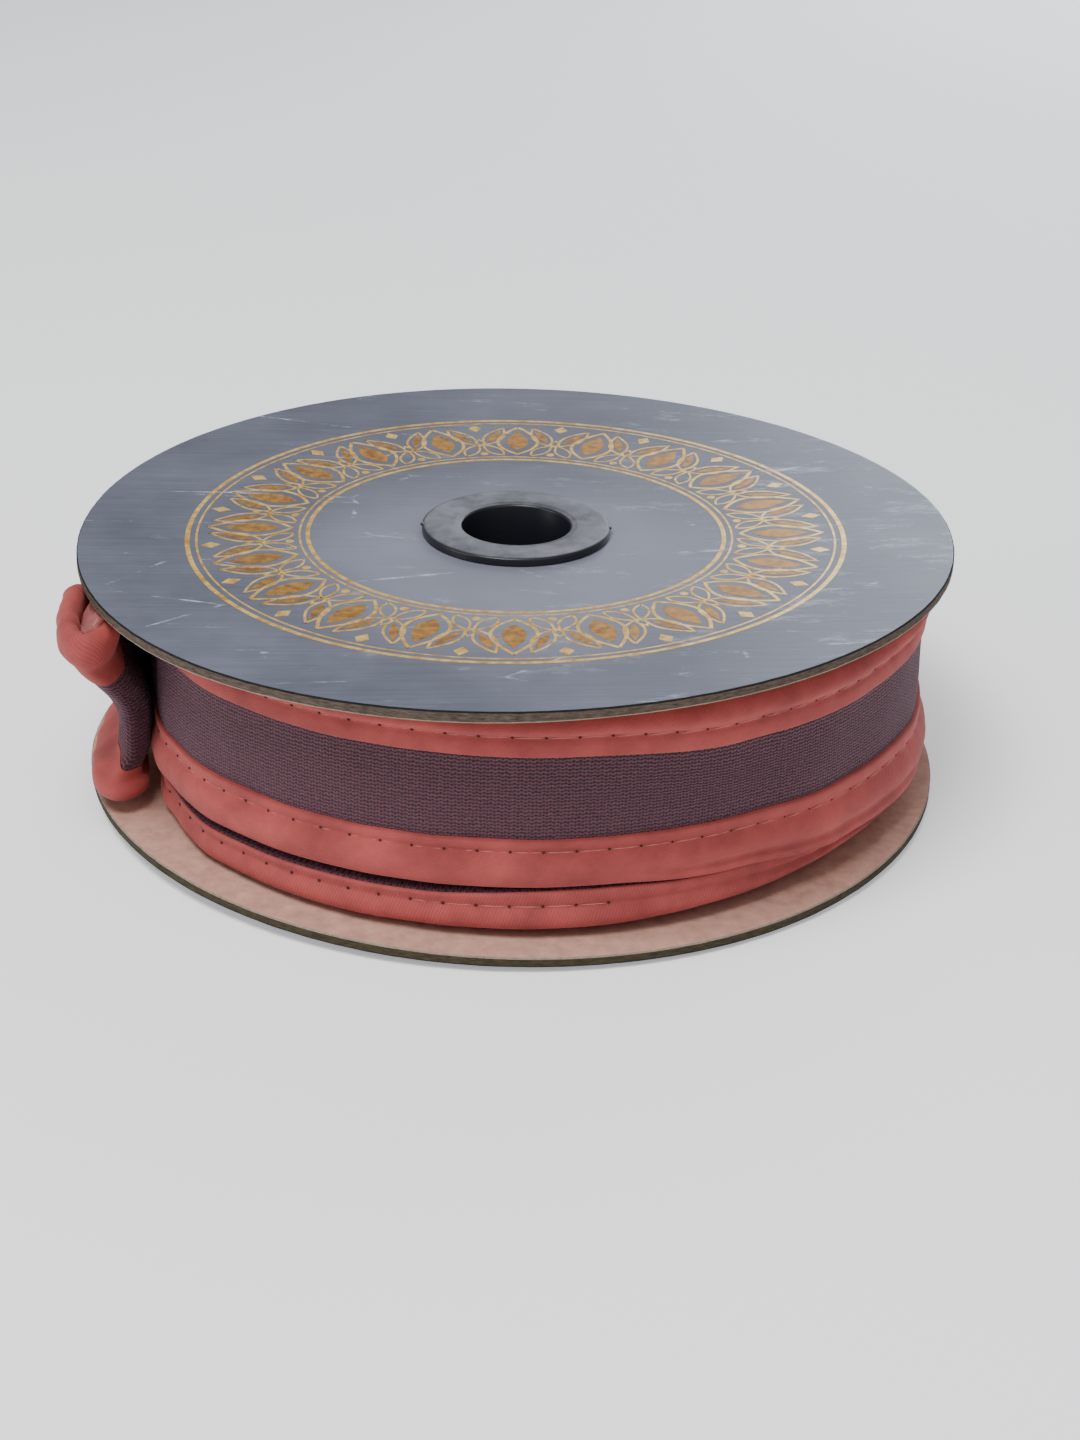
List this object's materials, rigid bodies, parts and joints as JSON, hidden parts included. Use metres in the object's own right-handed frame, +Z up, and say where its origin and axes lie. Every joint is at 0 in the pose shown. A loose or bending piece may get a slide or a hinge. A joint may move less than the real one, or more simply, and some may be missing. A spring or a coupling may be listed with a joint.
{
  "type": "piping trim on a reel",
  "caption": "Net tape with a cord-filled piped edge above and below, wound on a round two-board reel with a moulded hub, its loose end folded at one side.",
  "frame": {"origin": "centre of the reel's underside, at the lower hub collar's face", "axes": "+Z up along the reel's axis, out of the upper collar; -Y is the front and the loose end is at -X"},
  "size_m": [0.2032, 0.2032, 0.0624],
  "materials": {
    "slate_board": "grey board covered in smooth slate-blue paper, lightly scuffed",
    "grey_board": "bare grey board, matte, with a pinkish inner face",
    "moulded_black": "injection moulded, dusty grey on its flat face",
    "wound_trim": "coral bias-cut cotton piping with a purple net tape between",
    "net_tape": "fine purple net tape, matte",
    "coral_piping": "coral bias-cut cotton over a filler cord, machine stitched",
    "gold_foil": "hot-stamped gold foil on the upper board"
  },
  "bodies": {
    "root": {"board_upper": "slate_board", "board_lower": "grey_board", "hub_upper": "moulded_black", "hub_lower": "moulded_black", "wound_trim": "wound_trim", "tail_tape": "net_tape", "tail_piping_upper": "coral_piping", "tail_piping_lower": "coral_piping"}
  },
  "joints": []
}
